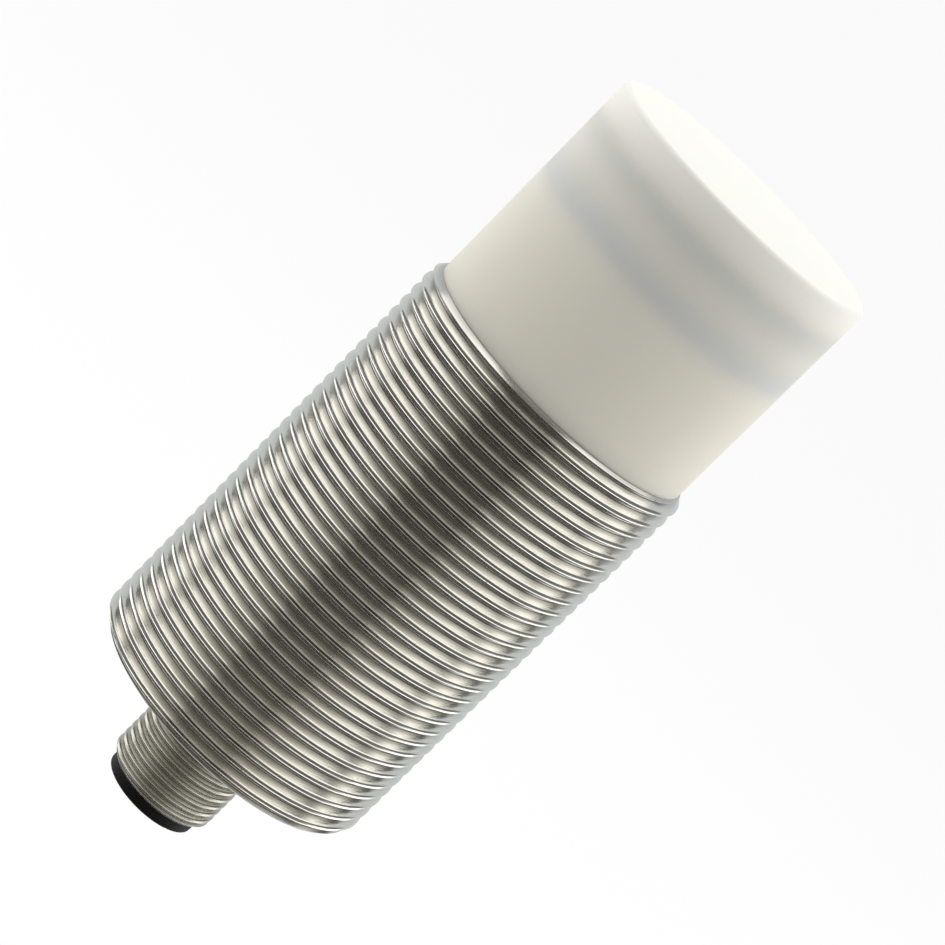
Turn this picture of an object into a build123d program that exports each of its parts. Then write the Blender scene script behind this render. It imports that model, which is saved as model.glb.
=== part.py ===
from build123d import *
import os

# Cylindrical capacitive proximity sensor, non-flush, with a round four-pin connector.
# Millimetres. Z is the sensor's axis and points the way it senses.
# The origin is on the axis, halfway along the mounting thread.

# Mounting thread, M32 x 1.5, drawn as rings at the thread's pitch and depth
thread_radius = 16.0
thread_pitch = 1.5
thread_depth = 0.92
thread_half_length = 22.25
front_band = 0.4
rear_band = 0.5

# Barrel
barrel_wall = 2.0
front_chamfer = 0.8
rear_chamfer = 0.85
rear_seat_step = 0.3
rear_seat_depth = 3.0
gasket_seat_step = 0.55
gasket_seat_depth = 1.0

# Cap
lip_width = 0.1
cap_length = 24.23
cap_edge_rounding = 0.7
cap_wall = 2.0
cap_face_thickness = 1.6
spigot_length = 8.0
spigot_wall = 0.9
spigot_clearance = 0.05
spigot_lead_in = 0.3

# Electrodes and their carrier
electrode_clearance = 0.15
copper_thickness = 0.3
sensing_cup_depth = 3.7
electrode_spacing = 1.7
compensation_ring_height = 5.0
carrier_flange_height = 1.5
carrier_wall = 3.3
carrier_web = 2.2

# Rear plate, its gaskets and the shield
seal_thickness = 0.8
rear_plate_thickness = 2.0
plate_clearance = 0.05
plate_lead_in = 0.2
rear_seal_width = 1.1
shield_clearance = 0.1
shield_wall = 0.3
shield_gap = 0.3

# Round connector, M12 x 1
connector_radius = 6.0
connector_pitch = 1.0
connector_depth = 0.61
connector_length = 10.5
connector_wall = 1.0
connector_chamfer = 0.6
neck_step = 0.2
relief_depth = 0.65
relief_length = 0.9
connector_seal_width = 0.9
flange_land = 0.3
flange_thickness = 1.5
connector_clearance = 0.05

# Contact insert and pins
insert_clearance = 0.05
insert_rim_height = 1.3
insert_rim_width = 0.2
insert_rim_rounding = 0.2
insert_wall = 0.65
socket_depth = 8.0
insert_length = 16.0
key_width = 0.9
key_height = 0.7
key_angle = 45
pin_circle_radius = 2.75
pin_radius = 0.5
pin_nose_rounding = 0.4
pin_count = 4
pin_hole_clearance = 0.03
pin_set_back = 1.4
pin_shoulder_radius = 0.8
pin_shoulder_height = 1.2
pin_tail_radius = 0.35
pin_tail_length = 1.6

# Boards
board_thickness = 1.2
board_side_gap = 0.6
board_nose_gap = 0.3
board_socket_depth = 1.0
connector_board_radius = 7.0
connector_board_thickness = 1.0
board_gap = 0.3
board_slot_clearance = 0.05
board_tab_width = 2.4
board_tab_edge = 0.6

# Trimmer and lamp, either side of the connector
trimmer_radius = 2.1
trimmer_gap = 0.1
trimmer_floor = 0.9
rotor_radius = 1.5
rotor_clearance = 0.05
rotor_set_back = 0.3
rotor_flange_radius = 1.75
rotor_flange_height = 0.9
rotor_shaft_radius = 1.0
rotor_shaft_length = 2.0
rotor_slot_width = 0.6
rotor_slot_depth = 0.7
lamp_clearance = 0.05
lamp_radius = 1.45
lamp_flange_radius = 1.9
lamp_flange_height = 0.6
led_radius = 1.5
led_height = 2.4
led_dome_rounding = 1.3
led_rim_radius = 1.9
led_rim_height = 0.6
lead_radius = 0.3
lead_offset = 1.2
lead_overlap = 3.0

# Parts on the main board: length along the sensor, width, height, and how far from the board's rear edge
oscillator_size = (5.0, 4.4, 1.6)
oscillator_place = 43.0
comparator_size = (6.2, 5.0, 1.6)
comparator_place = 31.0
transistor_size = (3.6, 6.5, 1.6)
transistor_place = 11.5
diode_size = (2.6, 4.4, 2.2)
diode_place = 11.5
capacitor_radius = 2.5
capacitor_length = 6.0
capacitor_place = 33.0
chip_rounding = 0.25

# Stiff wires from the electrodes to the board
electrode_lead_side = 3.0
electrode_lead_overlap = 5.0
compensation_lead_overlap = 1.6

# Resin block and board support, placed from the board's rear edge as well
plug_length = 9.0
plug_place = 20.0
support_height = 3.0
support_place = 6.4
support_wall = 2.4
support_lug_length = 3.6
support_lug_inset = 1.2
support_lug_width = 3.2

# Places and sizes worked out from the values above
barrel_front = thread_half_length + front_chamfer
barrel_rear = -thread_half_length - rear_chamfer
barrel_bore_radius = thread_radius - barrel_wall
rear_seat_radius = barrel_bore_radius + rear_seat_step
gasket_seat_radius = barrel_bore_radius + gasket_seat_step
cap_radius = thread_radius - front_chamfer - lip_width
cap_front = barrel_front + cap_length
cap_bore_radius = cap_radius - cap_wall
spigot_radius = barrel_bore_radius - spigot_clearance
spigot_bore_radius = spigot_radius - spigot_wall
spigot_end = barrel_front - spigot_length
rear_step = barrel_rear + rear_seat_depth
plate_inner = rear_step - seal_thickness
plate_outer = plate_inner - rear_plate_thickness
electrode_radius = min(cap_bore_radius, spigot_bore_radius) - electrode_clearance
cup_top = cap_front - cap_face_thickness
cup_rim = cup_top - sensing_cup_depth
ring_top = cup_rim - electrode_spacing
ring_bottom = ring_top - compensation_ring_height
carrier_bottom = ring_bottom - carrier_flange_height
carrier_bore_radius = electrode_radius - carrier_wall
connector_end = plate_outer - connector_length
shell_bore_radius = connector_radius - connector_wall
plate_hole_radius = connector_radius + connector_clearance
gasket_groove_radius = plate_hole_radius + connector_seal_width
flange_radius = gasket_groove_radius + flange_land
insert_radius = shell_bore_radius - insert_clearance
socket_radius = insert_radius - insert_wall
insert_end = connector_end - insert_rim_height
insert_back = insert_end + insert_length
socket_floor = insert_end + socket_depth
connector_board_bottom = insert_back + pin_shoulder_height
shield_outer = barrel_bore_radius - shield_clearance
shield_inner = shield_outer - shield_wall
bore_fit_radius = shield_inner - shield_clearance
side_offset = rear_seat_radius - rear_seal_width - trimmer_gap - trimmer_radius
rotor_play = 2 * rotor_clearance
shaft_bore_depth = rotor_flange_height + rotor_play + rotor_shaft_length + rotor_clearance
trimmer_top = plate_inner + shaft_bore_depth + trimmer_floor
board_front = cup_top - copper_thickness - carrier_web + board_socket_depth - board_gap
board_rear = connector_board_bottom + pin_tail_length + board_gap
board_width = 2 * (side_offset - board_side_gap)
board_nose_width = 2 * (carrier_bore_radius - board_nose_gap)
board_slot_thickness = board_thickness + 2 * board_slot_clearance
board_face = board_thickness / 2

os.makedirs("parts", exist_ok=True)


def keep(piece, name):
    """Label a finished piece and write it as its own file."""
    piece.part.label = name
    export_step(piece.part, f"parts/{name}.step")


# Barrel: a turned tube, bored through, with a seat for the cap's gasket and one for the rear plate
first_groove = thread_half_length - front_band - thread_pitch / 2
groove_count = int((2 * thread_half_length - front_band - rear_band) / thread_pitch)
with BuildPart() as threaded_barrel:
    with BuildSketch(Plane.XZ):
        with BuildLine():
            ring_points = []
            for groove in range(groove_count):
                middle = first_groove - groove * thread_pitch
                ring_points.append((thread_radius, middle + thread_pitch / 2))
                ring_points.append((thread_radius - thread_depth, middle))
            last_edge = first_groove - (groove_count - 0.5) * thread_pitch
            Polyline(
                (barrel_bore_radius, rear_step),
                (barrel_bore_radius, barrel_front - gasket_seat_depth),
                (gasket_seat_radius, barrel_front - gasket_seat_depth),
                (gasket_seat_radius, barrel_front),
                (thread_radius - front_chamfer, barrel_front),
                (thread_radius, thread_half_length),
                *ring_points,
                (thread_radius, last_edge),
                (thread_radius, -thread_half_length),
                (thread_radius - rear_chamfer, barrel_rear),
                (rear_seat_radius, barrel_rear),
                (rear_seat_radius, rear_step),
                close=True,
            )
        make_face()
    revolve(axis=Axis.Z)
keep(threaded_barrel, "threaded_barrel")

# Cap: closed at the front, with a shoulder on the barrel's lip and a spigot down its bore
with BuildPart() as sensing_cap:
    with BuildSketch(Plane.XY.offset(barrel_front)):
        Circle(cap_radius)
    extrude(amount=cap_length)
    with BuildSketch(Plane.XY.offset(spigot_end)):
        Circle(spigot_radius)
    extrude(amount=spigot_length)
    front_rim = sensing_cap.edges().filter_by(GeomType.CIRCLE).group_by(Axis.Z)[-1]
    fillet(front_rim, cap_edge_rounding)
    spigot_rim = sensing_cap.edges().filter_by(GeomType.CIRCLE).group_by(Axis.Z)[0]
    chamfer(spigot_rim, spigot_lead_in)
    with BuildSketch(Plane.XY.offset(spigot_end)):
        Circle(spigot_bore_radius)
    extrude(amount=cup_top - spigot_end, mode=Mode.SUBTRACT)
keep(sensing_cap, "sensing_cap")

# Flat gasket in the mouth of the barrel, under the cap's shoulder
with BuildPart() as cap_seal_ring:
    with BuildSketch(Plane.XY.offset(barrel_front - gasket_seat_depth)):
        Circle(gasket_seat_radius - spigot_clearance)
        Circle(barrel_bore_radius, mode=Mode.SUBTRACT)
    extrude(amount=gasket_seat_depth)
keep(cap_seal_ring, "cap_seal_ring")

# Rear plate: holes for the connector, the trimmer and the lamp, and a seat for the connector's gasket
with BuildPart() as rear_plate:
    with BuildSketch(Plane.XY.offset(plate_outer)):
        Circle(rear_seat_radius - plate_clearance)
        Circle(plate_hole_radius, mode=Mode.SUBTRACT)
        with Locations((side_offset, 0)):
            Circle(rotor_radius + rotor_clearance, mode=Mode.SUBTRACT)
        with Locations((-side_offset, 0)):
            Circle(lamp_radius + lamp_clearance, mode=Mode.SUBTRACT)
    extrude(amount=rear_plate_thickness)
    outer_rim = rear_plate.edges().filter_by(GeomType.CIRCLE).sort_by(SortBy.RADIUS)[-2:]
    chamfer(outer_rim.sort_by(Axis.Z)[0], plate_lead_in)
    with BuildSketch(Plane.XY.offset(plate_inner)):
        Circle(gasket_groove_radius)
        Circle(plate_hole_radius, mode=Mode.SUBTRACT)
    extrude(amount=-seal_thickness, mode=Mode.SUBTRACT)
keep(rear_plate, "rear_plate")

with BuildPart() as rear_seal_ring:
    with BuildSketch(Plane.XY.offset(plate_inner)):
        Circle(rear_seat_radius - plate_clearance)
        Circle(rear_seat_radius - rear_seal_width, mode=Mode.SUBTRACT)
    extrude(amount=seal_thickness)
keep(rear_seal_ring, "rear_seal_ring")

with BuildPart() as connector_seal_ring:
    with BuildSketch(Plane.XY.offset(plate_inner)):
        Circle(gasket_groove_radius - plate_clearance)
        Circle(plate_hole_radius, mode=Mode.SUBTRACT)
    extrude(amount=-seal_thickness)
keep(connector_seal_ring, "connector_seal_ring")

# Connector shell: threaded sleeve with a flange inside the rear plate, a neck and a relief beside it
relief_end = plate_outer - relief_length
connector_thread_length = relief_end - connector_end - connector_chamfer
connector_groove_count = int(connector_thread_length / connector_pitch - 1 / 2)
with BuildPart() as connector_shell:
    with BuildSketch(Plane.XZ):
        with BuildLine():
            thread_points = []
            for groove in range(connector_groove_count):
                middle = relief_end - (groove + 1) * connector_pitch
                thread_points.append((connector_radius, middle + connector_pitch / 2))
                thread_points.append((connector_radius - connector_depth, middle))
            last_edge = relief_end - (connector_groove_count + 0.5) * connector_pitch
            Polyline(
                (shell_bore_radius, plate_inner + flange_thickness),
                (flange_radius, plate_inner + flange_thickness),
                (flange_radius, plate_inner),
                (connector_radius - neck_step, plate_inner),
                (connector_radius - neck_step, plate_outer),
                (connector_radius - relief_depth, plate_outer),
                (connector_radius - relief_depth, relief_end),
                (connector_radius, relief_end),
                *thread_points,
                (connector_radius, last_edge),
                (connector_radius, connector_end + connector_chamfer),
                (connector_radius - connector_chamfer, connector_end),
                (shell_bore_radius, connector_end),
                close=True,
            )
        make_face()
    revolve(axis=Axis.Z)
keep(connector_shell, "connector_shell")

# Contact insert: black plastic plug, its rim seated on the shell's end, with a round socket,
# a coding key and four pin holes
with BuildPart() as contact_insert:
    with BuildSketch(Plane.XY.offset(insert_end)):
        Circle(insert_radius)
    extrude(amount=insert_length)
    with BuildSketch(Plane.XY.offset(insert_end)):
        Circle(insert_radius + insert_rim_width)
    extrude(amount=insert_rim_height)
    end_rim = contact_insert.edges().filter_by(GeomType.CIRCLE).group_by(Axis.Z)[0]
    fillet(end_rim, insert_rim_rounding)
    with BuildSketch(Plane.XY.offset(insert_end)):
        Circle(socket_radius)
        with PolarLocations(socket_radius, 1, start_angle=key_angle):
            Rectangle(2 * key_height, key_width, mode=Mode.SUBTRACT)
    extrude(amount=socket_depth, mode=Mode.SUBTRACT)
    with BuildSketch(Plane.XY.offset(socket_floor)):
        with PolarLocations(pin_circle_radius, pin_count):
            Circle(pin_radius + pin_hole_clearance)
    extrude(amount=insert_back - socket_floor, mode=Mode.SUBTRACT)
keep(contact_insert, "contact_insert")

# Contact pins: round-nosed, with a shoulder behind the insert and a thin tail into the connector board
pin_tip = insert_end + pin_set_back
for index in range(pin_count):
    pin_plane = Plane.XY.rotated((0, 0, 360 / pin_count * index))
    with BuildPart() as contact_pin:
        with BuildSketch(pin_plane.offset(pin_tip)):
            with Locations((pin_circle_radius, 0)):
                Circle(pin_radius)
        extrude(amount=insert_back - pin_tip)
        nose = contact_pin.edges().filter_by(GeomType.CIRCLE).group_by(Axis.Z)[0]
        fillet(nose, pin_nose_rounding)
        with BuildSketch(pin_plane.offset(insert_back)):
            with Locations((pin_circle_radius, 0)):
                Circle(pin_shoulder_radius)
        extrude(amount=pin_shoulder_height)
        with BuildSketch(pin_plane.offset(connector_board_bottom)):
            with Locations((pin_circle_radius, 0)):
                Circle(pin_tail_radius)
        extrude(amount=pin_tail_length)
    keep(contact_pin, f"contact_pin_{index + 1}")

# Connector board: round, drilled for the pins and slotted for the main board's tabs
tab_centre = connector_board_radius - board_tab_width / 2 - board_tab_edge
with BuildPart() as connector_board:
    with BuildSketch(Plane.XY.offset(connector_board_bottom)):
        Circle(connector_board_radius)
        with PolarLocations(pin_circle_radius, pin_count):
            Circle(pin_tail_radius + pin_hole_clearance, mode=Mode.SUBTRACT)
        with PolarLocations(tab_centre, 2):
            Rectangle(
                board_tab_width + 2 * board_slot_clearance,
                board_slot_thickness,
                mode=Mode.SUBTRACT,
            )
    extrude(amount=connector_board_thickness)
keep(connector_board, "connector_board")

# Main board: wide in the barrel, narrower in the carrier, with two tabs in the connector board
with BuildPart() as circuit_board:
    with BuildSketch(Plane.XZ.offset(-board_face)):
        with BuildLine():
            outline = Polyline(
                (0, board_front),
                (board_nose_width / 2, board_front),
                (board_nose_width / 2, carrier_bottom - board_gap),
                (board_width / 2, carrier_bottom - board_gap),
                (board_width / 2, board_rear),
                (tab_centre + board_tab_width / 2, board_rear),
                (tab_centre + board_tab_width / 2, connector_board_bottom + board_slot_clearance),
                (tab_centre - board_tab_width / 2, connector_board_bottom + board_slot_clearance),
                (tab_centre - board_tab_width / 2, board_rear),
                (0, board_rear),
            )
            mirror(outline, about=Plane.YZ)
        make_face()
    extrude(amount=board_thickness)
keep(circuit_board, "circuit_board")

# Electrode carrier: a bobbin with a bore for the board's nose and holes for the two leads
carrier_top = cup_top - copper_thickness
carrier_core_radius = electrode_radius - copper_thickness
lead_line = board_face + lead_radius
with BuildPart() as electrode_carrier:
    with BuildSketch(Plane.XZ):
        with BuildLine():
            Polyline(
                (0, carrier_top),
                (carrier_core_radius, carrier_top),
                (carrier_core_radius, cup_rim),
                (electrode_radius, cup_rim),
                (electrode_radius, ring_top),
                (carrier_core_radius, ring_top),
                (carrier_core_radius, ring_bottom),
                (electrode_radius, ring_bottom),
                (electrode_radius, carrier_bottom),
                (carrier_bore_radius, carrier_bottom),
                (carrier_bore_radius, carrier_top - carrier_web),
                (0, carrier_top - carrier_web),
                close=True,
            )
        make_face()
    revolve(axis=Axis.Z)
    with BuildSketch(Plane.XY.offset(carrier_top - carrier_web)):
        Rectangle(board_nose_width + 2 * board_slot_clearance, board_slot_thickness)
    extrude(amount=board_socket_depth, mode=Mode.SUBTRACT)
    with BuildSketch(Plane.XY.offset(carrier_top)):
        with Locations((electrode_lead_side, lead_line)):
            Circle(lead_radius + board_slot_clearance)
    extrude(amount=-carrier_web, mode=Mode.SUBTRACT)
    ring_middle = (ring_top + ring_bottom) / 2
    with BuildSketch(Plane.YZ):
        with Locations((lead_line, ring_middle)):
            Circle(lead_radius + board_slot_clearance)
    extrude(amount=electrode_radius, mode=Mode.SUBTRACT)
keep(electrode_carrier, "electrode_carrier")

# Electrodes: a copper cup over the carrier's front and a copper ring in its groove
with BuildPart() as sensing_electrode:
    with BuildSketch(Plane.XY.offset(cup_rim)):
        Circle(electrode_radius)
    extrude(amount=cup_top - cup_rim)
    with BuildSketch(Plane.XY.offset(cup_rim)):
        Circle(carrier_core_radius)
    extrude(amount=carrier_top - cup_rim, mode=Mode.SUBTRACT)
keep(sensing_electrode, "sensing_electrode")

with BuildPart() as compensation_electrode:
    with BuildSketch(Plane.XY.offset(ring_bottom)):
        Circle(electrode_radius)
        Circle(carrier_core_radius, mode=Mode.SUBTRACT)
    extrude(amount=compensation_ring_height)
keep(compensation_electrode, "compensation_electrode")

# Leads: one runs down from the cup beside the board, the other runs in from the ring across it
with BuildPart() as electrode_lead:
    with BuildSketch(Plane.XY.offset(carrier_top)):
        with Locations((electrode_lead_side, lead_line)):
            Circle(lead_radius)
    extrude(amount=-(carrier_web + electrode_lead_overlap))
keep(electrode_lead, "electrode_lead")

compensation_lead_start = board_nose_width / 2 - compensation_lead_overlap
compensation_lead_end = (carrier_core_radius**2 - (lead_line + lead_radius) ** 2) ** 0.5
with BuildPart() as compensation_lead:
    with BuildSketch(Plane.YZ.offset(compensation_lead_start)):
        with Locations((lead_line, ring_middle)):
            Circle(lead_radius)
    extrude(amount=compensation_lead_end - compensation_lead_start)
keep(compensation_lead, "compensation_lead")


def board_chip(size, place, side):
    """A moulded chip on one face of the main board, its body rounded along the top edges."""
    length, width, height = size
    with BuildPart() as chip:
        with BuildSketch(Plane.XZ.offset(-side * board_face)):
            with Locations((0, board_rear + place)):
                Rectangle(width, length)
        extrude(amount=-side * height)
        top = chip.faces().sort_by(Axis.Y)[-1 if side > 0 else 0]
        chamfer(top.edges(), chip_rounding)
    return chip


keep(board_chip(oscillator_size, oscillator_place, 1), "oscillator_chip")
keep(board_chip(comparator_size, comparator_place, 1), "comparator_chip")
keep(board_chip(transistor_size, transistor_place, 1), "output_transistor")
keep(board_chip(diode_size, diode_place, -1), "suppressor_diode")

# Filter capacitor: a small can standing on the board's other face
with BuildPart() as filter_capacitor:
    with BuildSketch(Plane.XZ.offset(board_face)):
        with Locations((0, board_rear + capacitor_place)):
            Circle(capacitor_radius)
    extrude(amount=capacitor_length)
    fillet(filter_capacitor.edges().group_by(Axis.Y)[0], chip_rounding)
keep(filter_capacitor, "filter_capacitor")

# Trimmer body: a round can on the rear plate with a stepped bore for the rotor and two leads to the board
rotor_plane = Plane((side_offset, 0, plate_inner))
with BuildPart() as trimmer_body:
    with BuildSketch(rotor_plane):
        Circle(trimmer_radius)
    extrude(amount=trimmer_top - plate_inner)
    with BuildSketch(rotor_plane):
        Circle(rotor_flange_radius + rotor_clearance)
    extrude(amount=rotor_flange_height + rotor_play, mode=Mode.SUBTRACT)
    with BuildSketch(rotor_plane):
        Circle(rotor_shaft_radius + rotor_clearance)
    extrude(amount=shaft_bore_depth, mode=Mode.SUBTRACT)
    with BuildSketch(rotor_plane.offset(trimmer_top - plate_inner)):
        with Locations((-lead_offset, lead_line), (-lead_offset, -lead_line)):
            Circle(lead_radius)
    extrude(amount=board_rear + lead_overlap - trimmer_top)
keep(trimmer_body, "trimmer_body")

# Trimmer rotor: slotted head in the plate's hole, a flange that holds it in, and a shaft
with BuildPart() as trimmer_rotor:
    head_end = rotor_set_back - rear_plate_thickness
    with BuildSketch(rotor_plane.offset(head_end)):
        Circle(rotor_radius)
    extrude(amount=rotor_clearance - head_end)
    with BuildSketch(rotor_plane.offset(rotor_clearance)):
        Circle(rotor_flange_radius)
    extrude(amount=rotor_flange_height)
    with BuildSketch(rotor_plane.offset(rotor_clearance + rotor_flange_height)):
        Circle(rotor_shaft_radius)
    extrude(amount=rotor_shaft_length)
    with BuildSketch(rotor_plane.offset(head_end)):
        Rectangle(2 * rotor_radius, rotor_slot_width)
    extrude(amount=rotor_slot_depth, mode=Mode.SUBTRACT)
keep(trimmer_rotor, "trimmer_rotor")

# Light pipe: clear window in the rear plate, with a flange behind it
lamp_plane = Plane((-side_offset, 0, plate_inner))
with BuildPart() as light_pipe:
    with BuildSketch(lamp_plane.offset(-rear_plate_thickness)):
        Circle(lamp_radius)
    extrude(amount=rear_plate_thickness)
    with BuildSketch(lamp_plane):
        Circle(lamp_flange_radius)
    extrude(amount=lamp_flange_height)
keep(light_pipe, "light_pipe")

# Lamp: domed towards the light pipe, with a rim and two leads to the board
with BuildPart() as status_led:
    with BuildSketch(lamp_plane.offset(lamp_flange_height)):
        Circle(led_radius)
    extrude(amount=led_height)
    fillet(status_led.edges().group_by(Axis.Z)[0], led_dome_rounding)
    rim_base = lamp_flange_height + led_height
    with BuildSketch(lamp_plane.offset(rim_base)):
        Circle(led_rim_radius)
    extrude(amount=led_rim_height)
    with BuildSketch(lamp_plane.offset(rim_base + led_rim_height)):
        with Locations((lead_offset, lead_line), (lead_offset, -lead_line)):
            Circle(lead_radius)
    extrude(amount=board_rear + lead_overlap - plate_inner - rim_base - led_rim_height)
keep(status_led, "status_led")

# Shield: thin sleeve that lines the bore between the rear gasket and the cap's spigot
with BuildPart() as shield_sleeve:
    with BuildSketch(Plane.XY.offset(rear_step + shield_gap)):
        Circle(shield_outer)
        Circle(shield_inner, mode=Mode.SUBTRACT)
    extrude(amount=spigot_end - rear_step - 2 * shield_gap)
keep(shield_sleeve, "shield_sleeve")

# Resin block cast round the middle of the board
with BuildPart() as potting_plug:
    with BuildSketch(Plane.XY.offset(board_rear + plug_place - plug_length / 2)):
        Circle(bore_fit_radius)
        Rectangle(board_width + 2 * board_slot_clearance, board_slot_thickness, mode=Mode.SUBTRACT)
    extrude(amount=plug_length)
keep(potting_plug, "potting_plug")

# Board support: a ring with two slotted lugs for the edges of the board
with BuildPart() as board_support:
    with BuildSketch(Plane.XY.offset(board_rear + support_place - support_height / 2)):
        Circle(bore_fit_radius)
        Circle(bore_fit_radius - support_wall, mode=Mode.SUBTRACT)
        with PolarLocations(bore_fit_radius - support_wall - support_lug_inset, 2):
            Rectangle(support_lug_length, support_lug_width)
        Rectangle(board_width + 2 * board_slot_clearance, board_slot_thickness, mode=Mode.SUBTRACT)
    extrude(amount=support_height)
keep(board_support, "board_support")
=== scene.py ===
import math

import bpy
from mathutils import Matrix, Vector


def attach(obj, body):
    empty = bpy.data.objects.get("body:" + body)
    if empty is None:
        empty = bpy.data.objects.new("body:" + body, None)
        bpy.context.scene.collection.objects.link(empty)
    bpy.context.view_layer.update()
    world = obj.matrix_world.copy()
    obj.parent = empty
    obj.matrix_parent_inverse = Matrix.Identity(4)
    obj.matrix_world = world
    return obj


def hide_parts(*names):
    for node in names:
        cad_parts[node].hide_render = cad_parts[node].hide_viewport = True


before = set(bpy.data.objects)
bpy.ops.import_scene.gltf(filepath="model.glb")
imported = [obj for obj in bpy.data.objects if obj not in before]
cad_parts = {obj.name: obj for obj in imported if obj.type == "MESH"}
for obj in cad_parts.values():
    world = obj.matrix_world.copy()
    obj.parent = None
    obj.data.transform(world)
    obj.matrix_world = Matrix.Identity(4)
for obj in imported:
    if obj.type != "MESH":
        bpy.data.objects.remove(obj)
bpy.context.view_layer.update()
TAU = 2 * math.pi
MM = 0.001

# Sizes repeated from the part's source, in millimetres
THREAD_RADIUS, THREAD_PITCH = 16.0, 1.5
BARREL_FRONT, BARREL_REAR = 23.05, -23.10
FRONT_CHAMFER, REAR_CHAMFER = 0.8, 0.85
BORE_RADIUS, REAR_SEAT_RADIUS, REAR_STEP = 14.0, 14.3, -20.10
GASKET_SEAT_RADIUS, GASKET_SEAT_FLOOR = 14.55, 22.05
PLUG_RADIUS, PLUG_PITCH = 6.0, 1.0
PLATE_INNER, PLATE_OUTER, PLUG_END = -20.90, -22.90, -33.40
FLANGE_TOP, FLANGE_RADIUS = -19.40, 7.25
PLUG_BORE, PLUG_NECK, RELIEF_RADIUS, RELIEF_LENGTH = 5.0, 5.8, 5.4, 0.9
# Short flat beside each soft corner, which keeps the flats and flanks of a thread straight
SUPPORT = 0.015
# Facets round the axis, how close points count as one, and up to what angle an edge looks soft
BARREL_STEPS, PLUG_STEPS = 132, 96
SAME_PLACE, SOFT_ANGLE = 0.002, 34
# Spare length and radius of a rod or blank where the other one decides the form
SPARE = 0.4


# Modelling


def clear_selection():
    """Back to object mode with nothing selected."""
    if bpy.context.object and bpy.context.object.mode != "OBJECT":
        bpy.ops.object.mode_set(mode="OBJECT")
    bpy.ops.object.select_all(action="DESELECT")


def make_active(piece):
    """Select one piece and nothing else."""
    clear_selection()
    piece.select_set(True)
    bpy.context.view_layer.objects.active = piece


def draw_section(name, points, closed):
    """Draw half a section beside the axis, point by point, as (radius, height) in millimetres."""
    clear_selection()
    first = points[0]
    bpy.ops.mesh.primitive_plane_add(size=MM, location=(first[0] * MM, 0, first[1] * MM))
    section = bpy.context.object
    section.name = section.data.name = name
    bpy.ops.object.transform_apply(location=True, rotation=True, scale=True)
    bpy.ops.object.mode_set(mode="EDIT")
    bpy.ops.mesh.select_all(action="SELECT")
    bpy.ops.mesh.merge(type="CENTER")
    for here, there in zip(points, points[1:]):
        step = ((there[0] - here[0]) * MM, 0, (there[1] - here[1]) * MM)
        bpy.ops.mesh.extrude_vertices_move(TRANSFORM_OT_translate={"value": step})
    if closed:
        bpy.ops.object.mode_set(mode="OBJECT")
        last = len(section.data.vertices) - 1
        for vertex in section.data.vertices:
            vertex.select = vertex.index in (0, last)
        bpy.ops.object.mode_set(mode="EDIT")
        bpy.ops.mesh.edge_face_add()
    bpy.ops.object.mode_set(mode="OBJECT")
    return section


def turn_section(section, steps):
    """Spin a closed section all the way round the axis."""
    make_active(section)
    bpy.ops.object.mode_set(mode="EDIT")
    bpy.ops.mesh.select_all(action="SELECT")
    bpy.ops.mesh.spin(steps=steps, angle=TAU, center=(0, 0, 0), axis=(0, 0, 1))
    bpy.ops.mesh.select_all(action="SELECT")
    bpy.ops.mesh.remove_doubles(threshold=SAME_PLACE * MM)
    bpy.ops.mesh.normals_make_consistent(inside=False)
    bpy.ops.object.mode_set(mode="OBJECT")
    return section


def ridge_section(radius, pitch, crest_flat, root_flat, crest_cut, root_cut, lean, start):
    """One pitch of a 60 degree thread from groove to groove, its corners rounded off by the cuts.

    The crest is crowned. Its highest line lies a quarter of its width from the rear. From there
    it leans in slightly to the rear and by the whole lean to the front, where the corner is
    twice as soft.
    """
    slope = math.tan(math.radians(60))
    flank = (pitch - crest_flat - root_flat) / 2
    low, high = radius - flank * slope, radius
    foot, brow = root_flat / 2, root_flat / 2 + flank
    corners = [
        ((low, foot), root_cut),
        ((high - lean / 8, brow - lean / 8 / slope), crest_cut),
        ((high, brow + crest_flat / 4), 0),
        ((high - lean, pitch - brow + lean / slope), 2 * crest_cut),
        ((low, pitch - foot), root_cut),
    ]
    ends = [(low, 0), *(place for place, _ in corners), (low, pitch)]
    points = [ends[0]]
    for (here, reach), before, after in zip(corners, ends, ends[2:]):
        arrive = toward(here, before, reach)
        leave = toward(here, after, reach)
        if reach:
            points.append(toward(arrive, before, SUPPORT))
            points.extend(curve_point(arrive, here, leave, share) for share in (0, 0.5, 1))
            points.append(toward(leave, after, SUPPORT))
        else:
            points.append(here)
    points.append(ends[-1])
    return [(r, z + start) for r, z in points]


def toward(here, there, reach):
    """The point at a distance from here on the line to there, or halfway if that is nearer."""
    run = math.dist(here, there)
    share = min(reach, run / 2) / run
    return tuple(a + (b - a) * share for a, b in zip(here, there))


def curve_point(start, corner, end, share):
    """A point on the soft corner from start to end."""
    rest = 1 - share
    return tuple(
        rest * rest * a + 2 * share * rest * b + share * share * c
        for a, b, c in zip(start, corner, end)
    )


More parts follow.
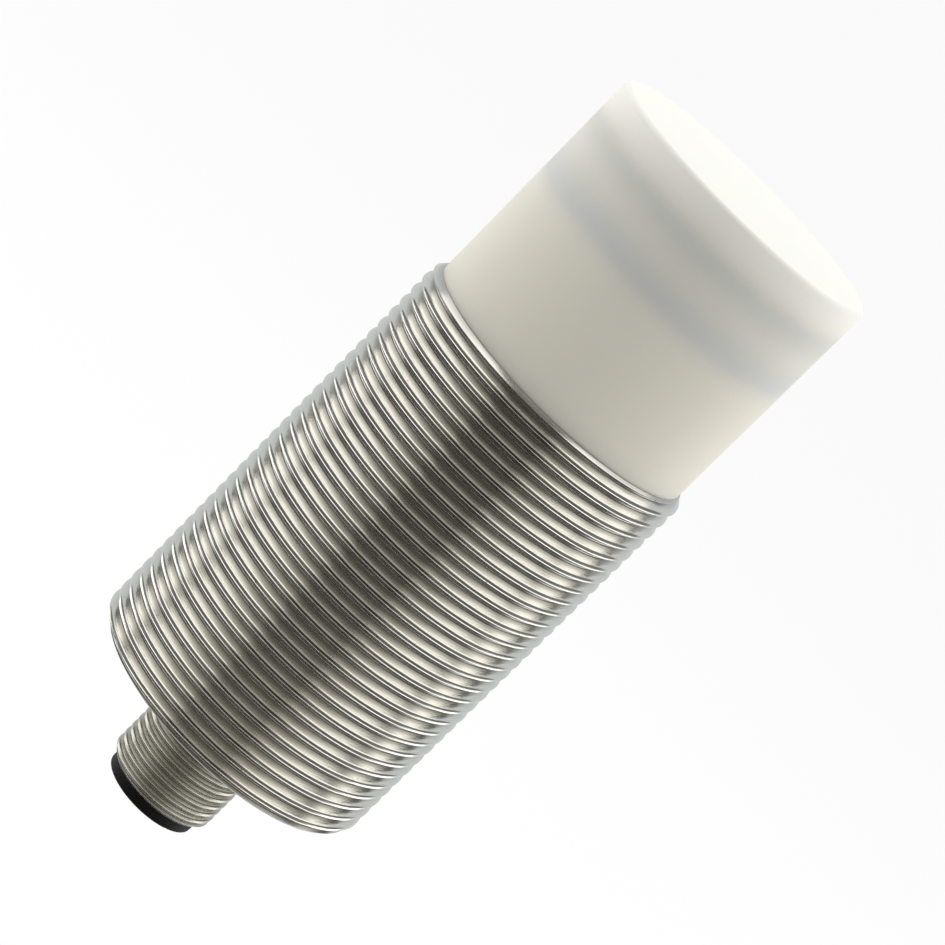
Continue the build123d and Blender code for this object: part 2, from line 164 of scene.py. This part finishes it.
def wind_thread(section, pitch, turns, steps, low, high):
    """Wind one pitch of thread into a rod, and close it flat at both ends."""
    make_active(section)
    screw = section.modifiers.new("helix", "SCREW")
    screw.axis = "Z"
    screw.angle = TAU
    screw.screw_offset = pitch * MM
    screw.iterations = turns
    screw.steps = screw.render_steps = steps
    bpy.ops.object.modifier_apply(modifier=screw.name)
    bpy.ops.object.mode_set(mode="EDIT")
    bpy.ops.mesh.select_all(action="SELECT")
    bpy.ops.mesh.remove_doubles(threshold=SAME_PLACE * MM)
    for height, normal in ((high, 1), (low, -1)):
        bpy.ops.mesh.select_all(action="SELECT")
        bpy.ops.mesh.bisect(
            plane_co=(0, 0, height * MM), plane_no=(0, 0, normal), use_fill=True, clear_outer=True
        )
    bpy.ops.mesh.select_all(action="SELECT")
    bpy.ops.mesh.remove_doubles(threshold=SAME_PLACE * MM)
    bpy.ops.mesh.normals_make_consistent(inside=False)
    bpy.ops.object.mode_set(mode="OBJECT")
    return section


def combine(piece, other, operation):
    """Cut or join two closed bodies, and drop the second."""
    make_active(piece)
    cut = piece.modifiers.new("cut", "BOOLEAN")
    cut.operation = operation
    cut.solver = "EXACT"
    cut.object = other
    bpy.ops.object.modifier_apply(modifier=cut.name)
    bpy.data.objects.remove(other)
    return piece


def finish_piece(piece, name, body, *nodes):
    """Clean a turned piece, shade it, and let it stand for its CAD nodes."""
    make_active(piece)
    bpy.ops.object.mode_set(mode="EDIT")
    bpy.ops.mesh.select_all(action="SELECT")
    bpy.ops.mesh.remove_doubles(threshold=SAME_PLACE * MM)
    bpy.ops.mesh.dissolve_degenerate(threshold=0.001 * MM)
    bpy.ops.object.mode_set(mode="OBJECT")
    bpy.ops.object.shade_smooth_by_angle(angle=math.radians(SOFT_ANGLE))
    piece.name = piece.data.name = name
    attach(piece, body)
    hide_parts(*nodes)
    return piece


# Barrel: a threaded rod, turned down to its blank with chamfered ends, seats and bore. The height
# of the groove at the +X side is read from the photograph.
groove_at_side = 1.673
thread_section = ridge_section(
    THREAD_RADIUS,
    THREAD_PITCH,
    crest_flat=0.34,
    root_flat=0.14,
    crest_cut=0.05,
    root_cut=0.08,
    lean=0.065,
    start=groove_at_side - 18 * THREAD_PITCH,
)
rod = wind_thread(
    draw_section("thread", thread_section, False),
    pitch=THREAD_PITCH,
    turns=33,
    steps=BARREL_STEPS,
    low=BARREL_REAR - 0.3,
    high=BARREL_FRONT + 0.3,
)
blank = turn_section(
    draw_section(
        "blank",
        [
            (GASKET_SEAT_RADIUS, BARREL_FRONT - 0.05),
            (GASKET_SEAT_RADIUS + 0.05, BARREL_FRONT),
            (THREAD_RADIUS - FRONT_CHAMFER - 0.06, BARREL_FRONT),
            (THREAD_RADIUS - FRONT_CHAMFER + 0.05, BARREL_FRONT - 0.05),
            (THREAD_RADIUS + SPARE, BARREL_FRONT - FRONT_CHAMFER - SPARE),
            (THREAD_RADIUS + SPARE, BARREL_REAR + REAR_CHAMFER + SPARE),
            (THREAD_RADIUS - REAR_CHAMFER + 0.05, BARREL_REAR + 0.05),
            (THREAD_RADIUS - REAR_CHAMFER - 0.06, BARREL_REAR),
            (REAR_SEAT_RADIUS + 0.06, BARREL_REAR),
            (REAR_SEAT_RADIUS, BARREL_REAR + 0.06),
            (REAR_SEAT_RADIUS, REAR_STEP),
            (BORE_RADIUS, REAR_STEP),
            (BORE_RADIUS, GASKET_SEAT_FLOOR),
            (GASKET_SEAT_RADIUS, GASKET_SEAT_FLOOR),
        ],
        True,
    ),
    BARREL_STEPS,
)
barrel = finish_piece(
    combine(rod, blank, "INTERSECT"), "barrel_with_thread", "sensor", "threaded_barrel"
)

# Connector: the same way, with a collar over the plain part inside the plate
plug_section = ridge_section(
    PLUG_RADIUS,
    PLUG_PITCH,
    crest_flat=0.42,
    root_flat=0.14,
    crest_cut=0.07,
    root_cut=0.08,
    lean=0.03,
    start=-34.55,
)
plug_rod = wind_thread(
    draw_section("plug_thread", plug_section, False),
    pitch=PLUG_PITCH,
    turns=12,
    steps=PLUG_STEPS,
    low=PLUG_END - 0.1,
    high=PLATE_OUTER - 0.5,
)
relief_end = PLATE_OUTER - RELIEF_LENGTH
inside, outside, collar_top = PLUG_BORE - 1.0, FLANGE_RADIUS + 1.75, FLANGE_TOP + 1.4
collar = turn_section(
    draw_section(
        "collar",
        [(inside, relief_end), (outside, relief_end), (outside, collar_top), (inside, collar_top)],
        True,
    ),
    PLUG_STEPS,
)
plug_blank = turn_section(
    draw_section(
        "plug_blank",
        [
            (PLUG_BORE, FLANGE_TOP),
            (FLANGE_RADIUS, FLANGE_TOP),
            (FLANGE_RADIUS, PLATE_INNER),
            (PLUG_NECK, PLATE_INNER),
            (PLUG_NECK, PLATE_OUTER),
            (RELIEF_RADIUS, PLATE_OUTER),
            (RELIEF_RADIUS, relief_end),
            (PLUG_RADIUS - 0.05, relief_end),
            (PLUG_RADIUS + 0.2, relief_end - 0.25),
            (PLUG_RADIUS + 0.2, PLUG_END + 0.8),
            (PLUG_RADIUS - 0.57, PLUG_END + 0.03),
            (PLUG_RADIUS - 0.64, PLUG_END),
            (PLUG_BORE, PLUG_END),
        ],
        True,
    ),
    PLUG_STEPS,
)
connector = finish_piece(
    combine(combine(plug_rod, collar, "UNION"), plug_blank, "INTERSECT"),
    "connector_with_thread",
    "sensor",
    "connector_shell",
)


# Materials


def new_group(name, inputs, outputs):
    """An empty node group with its sockets, given as (name, kind, default)."""
    group = bpy.data.node_groups.new(name, "ShaderNodeTree")
    for label, kind, default in inputs:
        socket = group.interface.new_socket(label, in_out="INPUT", socket_type="NodeSocket" + kind)
        socket.default_value = default
    for label, kind in outputs:
        group.interface.new_socket(label, in_out="OUTPUT", socket_type="NodeSocket" + kind)
    return group, group.nodes.new("NodeGroupInput"), group.nodes.new("NodeGroupOutput")


def put(tree, kind, links=(), **values):
    """Add a node, link what comes in, and set the rest by name."""
    node = tree.nodes.new("ShaderNode" + kind)
    for name, value in values.items():
        setattr(node, name, value)
    for socket, source in links:
        if isinstance(source, bpy.types.NodeSocket):
            tree.links.new(source, node.inputs[socket])
        else:
            node.inputs[socket].default_value = source
    return node


def calc(tree, operation, *sources):
    """One step of arithmetic."""
    return put(tree, "Math", list(enumerate(sources)), operation=operation).outputs[0]


def blend_colour(tree, share, first, second):
    """Two colours mixed by a share."""
    node = put(tree, "Mix", data_type="RGBA")
    for socket, source in ((0, share), (6, first), (7, second)):
        if isinstance(source, bpy.types.NodeSocket):
            tree.links.new(source, node.inputs[socket])
        else:
            node.inputs[socket].default_value = source
    return node.outputs[2]


def smooth_mask(tree, value, low, high):
    """Goes softly from 0 at low to 1 at high, which may be the smaller number."""
    return put(
        tree,
        "MapRange",
        [("Value", value), ("From Min", low), ("From Max", high)],
        interpolation_type="SMOOTHSTEP",
    ).outputs[0]


def axis_place(tree):
    """Object coordinates, whole and by axis, and the distance from the sensor's axis."""
    place = tree.nodes.new("ShaderNodeTexCoord").outputs["Object"]
    parts = put(tree, "SeparateXYZ", [(0, place)])
    x, y, z = parts.outputs
    squares = calc(tree, "ADD", calc(tree, "MULTIPLY", x, x), calc(tree, "MULTIPLY", y, y))
    return place, x, y, z, calc(tree, "SQRT", squares)


def make_tool_lines():
    """Fine lines that a turning tool leaves: they follow the thread's helix round the axis."""
    group, given, out = new_group(
        "tool_lines",
        [
            ("Pitch", "Float", 0.0015),
            ("Lines", "Float", 2.0),
            ("Drift", "Float", 120.0),
            ("Seed", "Float", 0.0),
        ],
        [("Lines", "Float"), ("Streaks", "Float")],
    )
    lines, drift = given.outputs["Lines"], given.outputs["Drift"]
    _, x, y, z, _ = axis_place(group)
    turn = calc(group, "ARCTAN2", y, x)
    climb = calc(group, "DIVIDE", calc(group, "MULTIPLY", z, TAU), given.outputs["Pitch"])
    phase = calc(group, "SUBTRACT", climb, turn)
    across = calc(group, "MULTIPLY", calc(group, "COSINE", phase), lines)
    across = calc(group, "ADD", across, given.outputs["Seed"])
    up = calc(group, "MULTIPLY", calc(group, "SINE", phase), lines)
    slow = calc(group, "MULTIPLY", x, drift)
    point = put(group, "CombineXYZ", [(0, across), (1, up), (2, slow)]).outputs[0]
    along = calc(group, "MULTIPLY", y, drift)
    for label, settings in (
        ("Lines", [("Scale", 1.6), ("Detail", 3.0), ("Roughness", 0.65)]),
        ("Streaks", [("Scale", 0.35), ("Detail", 2.0)]),
    ):
        noise = put(
            group,
            "TexNoise",
            [("Vector", point), ("W", along), *settings],
            noise_dimensions="4D",
        )
        group.links.new(noise.outputs[0], out.inputs[label])
    return group


def make_grain():
    """Fine even grain and slow clouding, for moulded and cast surfaces."""
    group, given, out = new_group(
        "moulded_grain",
        [("Grain Size", "Float", 0.0002), ("Cloud Size", "Float", 0.006)],
        [("Grain", "Float"), ("Cloud", "Float")],
    )
    place = axis_place(group)[0]
    for label, size, detail in (("Grain", "Grain Size", 3.0), ("Cloud", "Cloud Size", 2.0)):
        scale = calc(group, "DIVIDE", 1.0, given.outputs[size])
        noise = put(group, "TexNoise", [("Vector", place), ("Scale", scale), ("Detail", detail)])
        group.links.new(noise.outputs[0], out.inputs[label])
    return group


def make_specks():
    """Sparse dark specks and pits of dirt."""
    group, given, out = new_group(
        "dirt_specks", [("Spacing", "Float", 0.002)], [("Specks", "Float")]
    )
    place = axis_place(group)[0]
    scale = calc(group, "DIVIDE", 1.0, given.outputs["Spacing"])
    cells = put(group, "TexVoronoi", [("Vector", place), ("Scale", scale), ("Randomness", 1.0)])
    dots = calc(group, "LESS_THAN", cells.outputs["Distance"], 0.06)
    chance = put(group, "SeparateColor", [(0, cells.outputs["Color"])]).outputs[0]
    some = calc(group, "GREATER_THAN", chance, 0.72)
    group.links.new(calc(group, "MULTIPLY", dots, some), out.inputs["Specks"])
    return group


TOOL_LINES = make_tool_lines()
GRAIN = make_grain()
SPECKS = make_specks()


def group_node(tree, group, **values):
    """Place a shared group in a material with its own values."""
    node = tree.nodes.new("ShaderNodeGroup")
    node.node_tree = group
    for name, value in values.items():
        node.inputs[name.replace("_", " ")].default_value = value
    return node


def new_material(name, **values):
    """A plain Principled material with its constants set on the shader's own sockets."""
    material = bpy.data.materials.new(name)
    material.use_nodes = True
    shader = material.node_tree.nodes["Principled BSDF"]
    for label, value in values.items():
        shader.inputs[label.replace("_", " ")].default_value = value
    return material, material.node_tree, shader


def tone(colour, share):
    """A colour made lighter or darker."""
    return tuple(min(1.0, c * share) for c in colour[:3]) + (1.0,)


def shine(tree, shader, mask, roughness, spread):
    """Roughness that a mask moves either way from its middle value."""
    rough = put(
        tree,
        "MapRange",
        [("Value", mask), ("To Min", roughness - spread), ("To Max", roughness + spread)],
    )
    tree.links.new(rough.outputs[0], shader.inputs["Roughness"])


def relief(tree, shader, height, strength, depth):
    """Fine relief in the surface."""
    bump = put(tree, "Bump", [("Height", height), ("Strength", strength), ("Distance", depth)])
    tree.links.new(bump.outputs[0], shader.inputs["Normal"])


def threaded_metal(name, colour, roughness, pitch, root, crest, **lines):
    """Plated metal with tool lines along the thread, and painted shade in the grooves, darkest at
    the root radius and gone at the crest radius.
    """
    material, tree, shader = new_material(name, Metallic=1.0, Anisotropic=0.2)
    marks = group_node(tree, TOOL_LINES, Pitch=pitch, **lines)
    grain = group_node(tree, GRAIN, Grain_Size=0.00012, Cloud_Size=0.005)
    specks = group_node(tree, SPECKS, Spacing=0.0016)
    radius = axis_place(tree)[4]
    fine = smooth_mask(tree, marks.outputs["Lines"], 0.3, 0.7)
    shade = blend_colour(tree, fine, tone(colour, 0.86), tone(colour, 1.08))
    broad = smooth_mask(tree, marks.outputs["Streaks"], 0.35, 0.65)
    shade = blend_colour(tree, broad, tone(colour, 0.93), shade)
    # Painted shade: the base colour darkens towards the thread roots, where shade falls in the
    # grooves, and the same mask makes the roots a little rougher
    depth = smooth_mask(tree, radius, root * MM, crest * MM)
    painted_root_shade = calc(tree, "MULTIPLY", calc(tree, "SUBTRACT", 1.0, depth), 0.43)
    shade = blend_colour(tree, painted_root_shade, shade, tone(colour, 0.2))
    dots = calc(tree, "MULTIPLY", specks.outputs[0], 0.6)
    shade = blend_colour(tree, dots, shade, tone(colour, 0.25))
    tree.links.new(shade, shader.inputs["Base Color"])
    rough = put(
        tree,
        "MapRange",
        [
            ("Value", marks.outputs["Lines"]),
            ("To Min", roughness * 0.6),
            ("To Max", roughness * 1.4),
        ],
    ).outputs[0]
    rough = calc(tree, "ADD", rough, calc(tree, "MULTIPLY", painted_root_shade, 0.15))
    tree.links.new(rough, shader.inputs["Roughness"])
    dust = calc(tree, "MULTIPLY", grain.outputs["Grain"], 0.4)
    relief(tree, shader, calc(tree, "ADD", marks.outputs["Lines"], dust), 0.25, 0.00004)
    round_axis = put(tree, "Tangent", direction_type="RADIAL", axis="Z")
    tree.links.new(round_axis.outputs[0], shader.inputs["Tangent"])
    shader.inputs["Anisotropic Rotation"].default_value = 0.25
    return material


def moulded(name, colour, roughness, grain_size=0.0002, bump=0.15, **values):
    """Moulded plastic, rubber, laminate or resin with fine grain and slow clouding."""
    clouding = 0.05
    material, tree, shader = new_material(name, **values)
    grain = group_node(tree, GRAIN, Grain_Size=grain_size, Cloud_Size=grain_size * 25)
    darker, lighter = tone(colour, 1 - clouding), tone(colour, 1 + clouding)
    shade = blend_colour(tree, grain.outputs["Cloud"], darker, lighter)
    tree.links.new(shade, shader.inputs["Base Color"])
    shine(tree, shader, grain.outputs["Grain"], roughness, 0.06)
    relief(tree, shader, grain.outputs["Grain"], bump, 0.00003)
    return material


def turned_metal(name, colour, roughness, pitch=0.0004):
    """Plain turned, drawn or plated metal with fine lines round the axis."""
    material, tree, shader = new_material(name, Metallic=1.0)
    marks = group_node(tree, TOOL_LINES, Pitch=pitch, Lines=1.0, Drift=90.0)
    shade = blend_colour(tree, marks.outputs["Lines"], tone(colour, 0.9), tone(colour, 1.08))
    tree.links.new(shade, shader.inputs["Base Color"])
    shine(tree, shader, marks.outputs["Streaks"], roughness, 0.07)
    relief(tree, shader, marks.outputs["Lines"], 0.2, 0.00003)
    return material


def cap_plastic():
    """Translucent off-white plastic whose colour holds painted light: faint bluish bands of painted
    shade over the electrodes inside, a painted darker stretch next to the barrel and a painted glow
    at the front edge.
    """
    material, tree, shader = new_material(
        "translucent_cap", Subsurface_Weight=0.35, Subsurface_Scale=0.0025, IOR=1.5
    )
    shader.inputs["Subsurface Radius"].default_value = (1.0, 0.85, 0.65)
    _, _, _, z, _ = axis_place(tree)
    grain = group_node(tree, GRAIN, Grain_Size=0.00035, Cloud_Size=0.009)
    waver = calc(tree, "MULTIPLY", calc(tree, "SUBTRACT", grain.outputs["Cloud"], 0.5), 0.0012)
    lowest, highest = 23.0, 47.5
    along = put(
        tree,
        "MapRange",
        [
            ("Value", calc(tree, "ADD", z, waver)),
            ("From Min", lowest * MM),
            ("From Max", highest * MM),
        ],
    )
    painted_light_bands = put(tree, "ValToRGB", [(0, along.outputs[0])])
    painted_light_bands.color_ramp.interpolation = "B_SPLINE"
    # Heights in millimetres. Painted shade darkens the start by the barrel and the stretches over
    # the two electrodes; a painted glow lightens the front edge.
    stops = [
        (23.1, (0.74, 0.705, 0.61)),
        (25.2, (0.82, 0.785, 0.68)),
        (34.6, (0.82, 0.785, 0.68)),
        (36.0, (0.78, 0.76, 0.68)),
        (37.0, (0.655, 0.665, 0.64)),
        (38.2, (0.665, 0.675, 0.65)),
        (39.8, (0.77, 0.755, 0.68)),
        (41.2, (0.76, 0.745, 0.675)),
        (42.3, (0.69, 0.695, 0.65)),
        (43.4, (0.69, 0.695, 0.65)),
        (44.4, (0.88, 0.85, 0.76)),
        (45.8, (0.97, 0.95, 0.88)),
    ]
    ramp = painted_light_bands.color_ramp.elements
    while len(ramp) < len(stops):
        ramp.new(0.5)
    for element, (place, colour) in zip(ramp, stops):
        element.position = (place - lowest) / (highest - lowest)
        element.color = (*colour, 1)
    cloud = calc(tree, "MULTIPLY", grain.outputs["Cloud"], 0.06)
    shade = blend_colour(tree, cloud, painted_light_bands.outputs[0], (0.7, 0.66, 0.56, 1))
    tree.links.new(shade, shader.inputs["Base Color"])
    shine(tree, shader, grain.outputs["Grain"], 0.55, 0.07)
    relief(tree, shader, grain.outputs["Grain"], 0.12, 0.00004)
    return material


def paint(piece, material):
    """One material on the whole piece."""
    piece.data.materials.clear()
    piece.data.materials.append(material)


barrel_nickel = threaded_metal(
    "nickel_barrel",
    (0.77, 0.755, 0.71),
    roughness=0.09,
    pitch=THREAD_PITCH * MM,
    root=THREAD_RADIUS - 0.8,
    crest=THREAD_RADIUS - 0.2,
    Lines=2.2,
)
paint(barrel, barrel_nickel)
connector_nickel = threaded_metal(
    "nickel_connector",
    (0.52, 0.505, 0.45),
    roughness=0.27,
    pitch=PLUG_PITCH * MM,
    root=PLUG_RADIUS - 0.5,
    crest=PLUG_RADIUS - 0.2,
    Lines=1.6,
    Seed=7.0,
)
paint(connector, connector_nickel)
plastic_black = moulded("black_insert", (0.006, 0.006, 0.006), 0.55, IOR=1.2)
rubber_black = moulded("seal_rubber", (0.018, 0.018, 0.018), 0.75, bump=0.3)
copper = turned_metal("electrode_copper", (0.80, 0.46, 0.33), 0.28)
tinned = turned_metal("tinned_lead", (0.7, 0.7, 0.68), 0.3)
chip_black = moulded("chip_moulding", (0.03, 0.03, 0.032), 0.6, grain_size=0.00012, bump=0.3)
finishes = {
    "sensing_cap": cap_plastic(),
    "rear_plate": turned_metal("plate_metal", (0.55, 0.54, 0.50), 0.38),
    "shield_sleeve": turned_metal("shield_sheet", (0.58, 0.58, 0.57), 0.32),
    "contact_insert": plastic_black,
    "cap_seal_ring": rubber_black,
    "rear_seal_ring": rubber_black,
    "connector_seal_ring": rubber_black,
    "sensing_electrode": copper,
    "compensation_electrode": copper,
    "electrode_lead": tinned,
    "compensation_lead": tinned,
    "electrode_carrier": moulded("carrier_moulding", (0.12, 0.13, 0.15), 0.5),
    "circuit_board": moulded("board_resist", (0.03, 0.19, 0.08), 0.35, grain_size=0.0004),
    "connector_board": moulded("small_board_resist", (0.03, 0.17, 0.075), 0.38, grain_size=0.0004),
    "oscillator_chip": chip_black,
    "comparator_chip": chip_black,
    "output_transistor": chip_black,
    "suppressor_diode": chip_black,
    "filter_capacitor": turned_metal("can_metal", (0.68, 0.68, 0.68), 0.3),
    "trimmer_body": moulded("trimmer_moulding", (0.05, 0.09, 0.3), 0.45),
    "trimmer_rotor": turned_metal("rotor_brass", (0.76, 0.58, 0.28), 0.28, pitch=0.0002),
    "status_led": moulded("lamp_lens", (0.85, 0.5, 0.08), 0.2, bump=0.05, Transmission_Weight=0.5),
    "light_pipe": moulded(
        "clear_window", (0.82, 0.82, 0.78), 0.12, bump=0.04, Transmission_Weight=0.7, IOR=1.49
    ),
    "potting_plug": moulded("cast_resin", (0.05, 0.05, 0.055), 0.3, grain_size=0.0008),
    "board_support": moulded("support_moulding", (0.2, 0.2, 0.2), 0.5),
}
pin_gold = turned_metal("pin_gold", (0.86, 0.64, 0.3), 0.22, pitch=0.0002)
for number in range(1, 5):
    finishes[f"contact_pin_{number}"] = pin_gold
for node, material in finishes.items():
    paint(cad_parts[node], material)


# Studio


def soft_box(name, azimuth):
    """A large soft lamp that faces the sensor, seen by neither camera nor metal.

    Azimuth 0 is the camera's side and 90 is +X.
    """
    middle = Vector((0, 0, 0.006))
    turned, elevation = math.radians(azimuth), math.radians(35)
    side = Vector((math.sin(turned), -math.cos(turned), 0)) * math.cos(elevation)
    away = side + Vector((0, 0, math.sin(elevation)))
    lamp = bpy.data.lights.new(name, "AREA")
    lamp.shape = "SQUARE"
    lamp.size = 0.75
    lamp.energy = 3.0
    box = bpy.data.objects.new(name, lamp)
    bpy.context.collection.objects.link(box)
    box.location = middle + away * 0.6
    box.rotation_euler = (-away).to_track_quat("-Z", "Y").to_euler()
    box.visible_camera = False
    box.visible_glossy = False


def seen_directly(tree):
    """1 for camera, mirror and see-through rays, 0 for the light that falls on things."""
    path = tree.nodes.new("ShaderNodeLightPath")
    total = calc(tree, "ADD", path.outputs["Is Camera Ray"], path.outputs["Is Glossy Ray"])
    return calc(tree, "MINIMUM", calc(tree, "ADD", total, path.outputs["Is Transmission Ray"]), 1.0)


def fade(tree, share, first, second):
    """A value that goes from the first to the second by a share."""
    span = calc(tree, "SUBTRACT", second, first)
    return calc(tree, "ADD", first, calc(tree, "MULTIPLY", share, span))


def stepped_glow(tree, place, stops):
    """A brightness that changes softly from each (place, brightness, softness) to the next."""
    level = stops[0][1]
    for (_, low, _), (edge, high, soft) in zip(stops, stops[1:]):
        beyond = smooth_mask(tree, place, edge - soft, edge + soft)
        level = calc(tree, "ADD", level, calc(tree, "MULTIPLY", beyond, high - low))
    return level


# Camera: at the photograph's angle, turned so that the sensor lies across the picture
tilt, roll = math.radians(14.295), math.radians(45)
back = Vector((0, -math.cos(tilt), math.sin(tilt)))
sideways, upright = Vector((1, 0, 0)), Vector((0, math.sin(tilt), math.cos(tilt)))
right = math.cos(roll) * sideways + math.sin(roll) * upright
above = math.cos(roll) * upright - math.sin(roll) * sideways
lens = bpy.data.cameras.new("camera")
lens.lens, lens.sensor_width = 123.5, 36.0
lens.clip_start, lens.clip_end = 0.01, 50.0
camera = bpy.data.objects.new("camera", lens)
bpy.context.collection.objects.link(camera)
stand = Matrix.Translation((0.0001, -0.2936, 0.08555))
camera.matrix_world = stand @ Matrix((right, above, back)).transposed().to_4x4()
bpy.context.scene.camera = camera

# Backdrop: plain white where it is seen, and an even soft light on things. The metal mirrors the
# photographer's room instead: bands of brightness one above the other, each of them darkest
# on the camera's side and brighter round the sides, with a pale back and a darker zenith.
world = bpy.data.worlds.new("backdrop")
bpy.context.scene.world = world
world.use_nodes = True
sky = world.node_tree
background = sky.nodes["Background"]
toward_x, toward_y, toward_z = put(
    sky, "SeparateXYZ", [(0, sky.nodes.new("ShaderNodeTexCoord").outputs["Generated"])]
).outputs
# Degrees away from the camera's side, to either side, and degrees above the horizon
either_side = calc(sky, "ABSOLUTE", toward_x)
camera_side = calc(sky, "MULTIPLY", toward_y, -1.0)
turn = calc(sky, "DEGREES", calc(sky, "ARCTAN2", either_side, camera_side))
rise = calc(sky, "DEGREES", calc(sky, "ARCSINE", toward_z))
table = stepped_glow(sky, turn, ((0, 0.24, 0), (28, 0.6, 2), (66, 2.0, 28)))
near = stepped_glow(sky, turn, ((0, 0.9, 0), (60, 1.9, 30)))
far = stepped_glow(sky, turn, ((0, 0.07, 0), (28, 0.27, 2), (102, 2.0, 8)))
gap = stepped_glow(sky, turn, ((0, 0.04, 0), (28, 0.13, 2), (80, 0.21, 30)))
top = stepped_glow(sky, turn, ((0, 0.45, 0), (45, 1.3, 20)))
mirrored = fade(sky, smooth_mask(sky, rise, -35, -31), table, near)
mirrored = fade(sky, smooth_mask(sky, rise, -24, -21), mirrored, far)
mirrored = fade(sky, smooth_mask(sky, rise, -10.5, -8), mirrored, gap)
lifted = calc(sky, "SUBTRACT", rise, calc(sky, "MULTIPLY", turn, 0.06))
mirrored = fade(sky, smooth_mask(sky, lifted, 17, 23), mirrored, top)
ceiling = stepped_glow(sky, turn, ((0, 0.15, 0), (48, 1.5, 5)))
mirrored = fade(sky, smooth_mask(sky, rise, 54, 60), mirrored, ceiling)
behind = calc(
    sky, "MULTIPLY", smooth_mask(sky, turn, 135.5, 138.5), smooth_mask(sky, rise, 34, 31)
)
mirrored = fade(sky, behind, mirrored, 0.72)
mirrored = fade(sky, smooth_mask(sky, rise, 70, 75), mirrored, 0.28)
path = sky.nodes.new("ShaderNodeLightPath")
seen = calc(sky, "MAXIMUM", path.outputs["Is Camera Ray"], path.outputs["Is Transmission Ray"])
level = fade(sky, path.outputs["Is Glossy Ray"], 0.44, mirrored)
level = fade(sky, seen, level, 1.0)
# What the metal mirrors is a little warm in front and a little cool behind
beside = smooth_mask(sky, turn, 20, 90)
shade = blend_colour(sky, beside, (1, 0.965, 0.87, 1), (1, 1, 0.97, 1))
shade = blend_colour(sky, behind, shade, (0.95, 0.995, 1, 1))
shade = blend_colour(sky, path.outputs["Is Glossy Ray"], (1, 1, 1, 1), shade)
sky.links.new(shade, background.inputs["Color"])
sky.links.new(level, background.inputs["Strength"])

# Floor: pale, well below the part; the metal mirrors the backdrop in its place
clear_selection()
bpy.ops.mesh.primitive_plane_add(size=12, location=(0, 0, -0.16))
floor = bpy.context.object
floor.name = "floor"
floor.visible_glossy = False
pale = bpy.data.materials.new("pale_floor")
pale.use_nodes = True
ground = pale.node_tree
ground.nodes.clear()
matt = put(ground, "BsdfDiffuse", [("Color", (0.95, 0.95, 0.95, 1))])
glow = put(ground, "Emission", [("Color", (1, 1, 1, 1)), ("Strength", 1.0)])
share = calc(ground, "MULTIPLY", seen_directly(ground), 0.92)
mix = put(ground, "MixShader", [(0, share), (1, matt.outputs[0]), (2, glow.outputs[0])])
output = ground.nodes.new("ShaderNodeOutputMaterial")
ground.links.new(mix.outputs[0], output.inputs["Surface"])
floor.data.materials.append(pale)

soft_box("left_box", -116)
soft_box("right_box", 116)

bpy.context.scene.view_settings.view_transform = "Standard"
